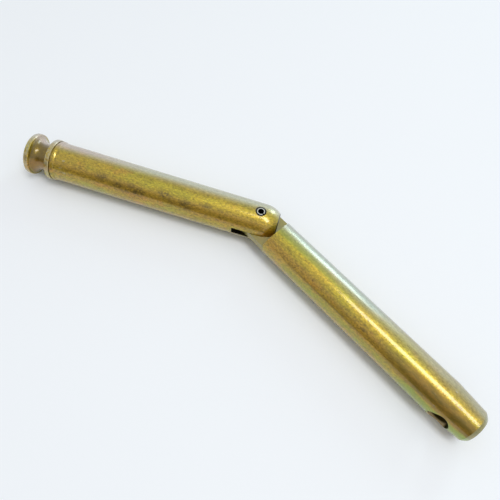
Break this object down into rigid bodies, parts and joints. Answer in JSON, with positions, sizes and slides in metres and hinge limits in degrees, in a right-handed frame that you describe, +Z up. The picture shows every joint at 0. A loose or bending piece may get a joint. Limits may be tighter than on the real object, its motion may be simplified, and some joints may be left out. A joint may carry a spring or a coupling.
{
  "type": "hinge pin",
  "caption": "Jointed steel pin: a forked and a tongued round shank hinged on a slotted roll pin, a knob head with a collar, and a tapered tail with a cross hole.",
  "frame": {"origin": "where the roll pin's axis crosses the axis of the bars", "axes": "+Z up along the roll pin's axis; the head half lies along -X; the tail half lies in the XY plane, turned from +X towards -Y"},
  "size_m": [0.3158, 0.1113, 0.0274],
  "materials": {
    "plated_steel": "zinc plated, yellow passivated",
    "spring_steel": "bright ground ends, dark sides"
  },
  "bodies": {
    "head": {"head_half": "plated_steel", "roll_pin": "spring_steel"},
    "tail": {"tail_half": "plated_steel"}
  },
  "joints": [
    {"name": "knuckle", "type": "hinge", "parent": "head", "child": "tail", "pos_m": [0, 0, 0], "axis": [0, 0, 1], "range_deg": [-69.5, 130.5]}
  ]
}
